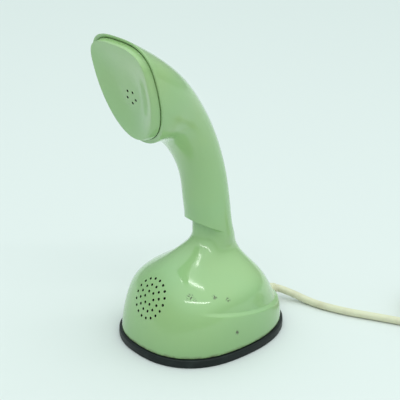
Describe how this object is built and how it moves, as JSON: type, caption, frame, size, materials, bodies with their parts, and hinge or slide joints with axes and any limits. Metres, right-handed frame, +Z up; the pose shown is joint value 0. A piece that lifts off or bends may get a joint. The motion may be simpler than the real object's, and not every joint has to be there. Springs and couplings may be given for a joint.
{
  "type": "one-piece desk telephone",
  "caption": "Upright one-piece desk telephone: swept moulded case with receiver in the head, microphone in the base front, dial and hang-up plunger underneath, and a coiled line cord.",
  "frame": {"origin": "on the table, under the middle of the telephone's bounding box without its cord", "axes": "+Z up, -Y towards the front (the side with the microphone and the ear cap), +X to the side"},
  "size_m": [0.1948, 0.2707, 0.2276],
  "materials": {
    "mint_plastic": "glossy moulded, lightly worn",
    "rubber": "matt",
    "black_plastic": "satin moulded",
    "steel": "plated",
    "felt": "matt felt",
    "cream_vinyl": "satin vinyl",
    "white_plastic": "glossy moulded",
    "brass": "turned",
    "spring_steel": "blued",
    "red_plastic": "glossy moulded",
    "copper": "enamelled wire"
  },
  "bodies": {
    "root": {"ear_cap": "mint_plastic", "receiver_gasket": "felt", "receiver_capsule": "black_plastic", "receiver_clip": "steel", "receiver_screw_1": "steel", "receiver_screw_2": "steel", "microphone_felt": "felt", "microphone_capsule": "steel", "case_shell": "mint_plastic", "foot_ring": "rubber", "base_plate": "black_plastic", "base_screw_1": "steel", "base_screw_2": "steel", "base_screw_3": "steel", "base_screw_4": "steel", "receiver_lead": "cream_vinyl", "microphone_holder": "black_plastic", "dial_number_ring": "white_plastic", "dial_finger_stop": "steel", "dial_return_spring": "spring_steel", "dial_frame": "steel", "dial_screw_1": "steel", "dial_screw_2": "steel", "dial_screw_3": "steel", "governor_cup": "brass", "governor_bracket": "steel", "pulse_contact_block": "black_plastic", "pulse_blade_1": "spring_steel", "pulse_blade_2": "spring_steel", "plunger_spring": "spring_steel", "switch_bracket": "steel", "switch_lever_pin": "steel", "switch_block": "black_plastic", "switch_blade_1": "spring_steel", "switch_blade_2": "spring_steel", "induction_coil_core": "steel", "induction_coil_winding": "copper", "line_capacitor": "brass", "capacitor_clip": "steel", "terminal_block": "black_plastic", "terminal_screw_1": "brass", "terminal_screw_2": "brass", "terminal_screw_3": "brass", "terminal_screw_4": "brass", "line_lead": "cream_vinyl", "strain_relief": "cream_vinyl", "cord_tube": "cream_vinyl", "cord_coil": "cream_vinyl", "line_plug": "cream_vinyl"},
    "dial": {"dial_finger_wheel": "white_plastic", "dial_shaft": "brass", "dial_main_gear": "brass", "pulse_cam": "black_plastic"},
    "arbor": {"governor_arbor": "brass"},
    "governor": {"governor_spindle": "steel", "governor_weight_1": "brass", "governor_weight_2": "brass"},
    "plunger": {"plunger_button": "red_plastic", "plunger_rod": "white_plastic"},
    "switch": {"switch_lever": "steel"}
  },
  "joints": [
    {"name": "dial_turn", "type": "hinge", "parent": "root", "child": "dial", "pos_m": [0, 0.00658, 0.01], "axis": [0, 0, 1], "range_deg": [0, 325], "stiffness_Nm_per_rad": 0.003, "springref_deg": -171.89, "deforming": ["dial_return_spring"]},
    {"name": "governor_arbor_turn", "type": "hinge", "parent": "root", "child": "arbor", "pos_m": [0, 0.03658, 0.02], "axis": [0, 0, 1], "range_deg": [-1310, 10]},
    {"name": "governor_turn", "type": "hinge", "parent": "root", "child": "governor", "pos_m": [0, 0.02658, 0.0235], "axis": [1, 0, 0], "range_deg": [-10, 26100]},
    {"name": "plunger_press", "type": "slide", "parent": "root", "child": "plunger", "axis": [0, 0, 1], "range_m": [-0.005, 0], "stiffness_N_per_m": 60, "springref_m": -0.018, "deforming": ["plunger_spring"]},
    {"name": "switch_tilt", "type": "hinge", "parent": "root", "child": "switch", "pos_m": [0, 0.02458, 0.03505], "axis": [1, 0, 0], "range_deg": [-0.5, 15.5]}
  ],
  "couplings": [
    {"joint": "governor_arbor_turn", "follows": "dial_turn", "ratio": -4},
    {"joint": "governor_turn", "follows": "dial_turn", "ratio": 80},
    {"joint": "switch_tilt", "follows": "plunger_press", "rad_per_m": -52}
  ]
}
